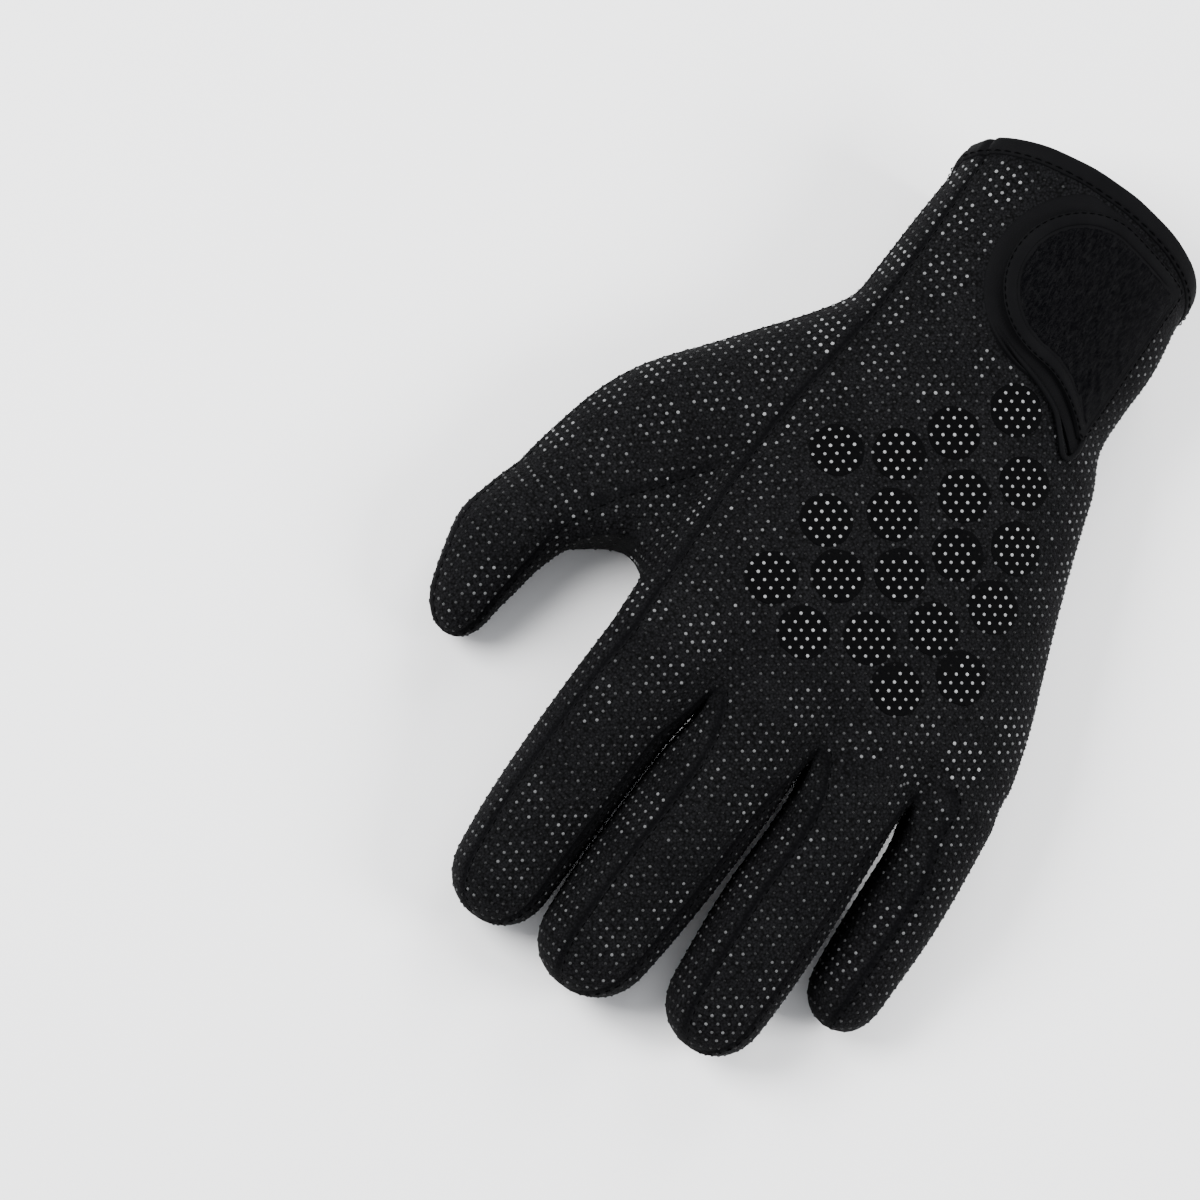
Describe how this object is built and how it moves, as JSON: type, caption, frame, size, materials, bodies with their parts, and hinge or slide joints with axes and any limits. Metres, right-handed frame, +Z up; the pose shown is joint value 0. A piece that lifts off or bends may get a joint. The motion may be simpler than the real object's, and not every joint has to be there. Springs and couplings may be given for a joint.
{
  "type": "neoprene diving glove, left hand",
  "caption": "Left-hand neoprene diving glove lying palm down, hollow to the fingertips, with a taped cuff, a wrist tab closure and raised grip dots on the back.",
  "frame": {"origin": "middle of the bottom of the box round the glove, on the surface it lies on", "axes": "+Y from the cuff to the fingertips, +X to the thumb side, +Z up out of the back of the hand"},
  "size_m": [0.1672, 0.2602, 0.053],
  "materials": {
    "neoprene": "matte charcoal knit over neoprene, printed with tiny glossy grip nubs",
    "tape": "smooth dark stretch tape",
    "print": "black printed rubber",
    "tab_leather": "black creased synthetic leather"
  },
  "bodies": {
    "root": {"back_panel": "neoprene", "thumb_panel": "neoprene", "palm_panel": "neoprene", "cuff_binding": "tape", "loop_pad": "tape", "closure_tab": "tape", "tab_face": "tab_leather", "tab_binding": "tape", "grip_dot_01": "print", "grip_dot_02": "print", "grip_dot_03": "print", "grip_dot_04": "print", "grip_dot_05": "print", "grip_dot_06": "print", "grip_dot_07": "print", "grip_dot_08": "print", "grip_dot_09": "print", "grip_dot_10": "print", "grip_dot_11": "print", "grip_dot_12": "print", "grip_dot_13": "print", "grip_dot_14": "print", "grip_dot_15": "print", "grip_dot_16": "print", "grip_dot_17": "print", "grip_dot_18": "print", "grip_dot_19": "print"}
  },
  "joints": []
}
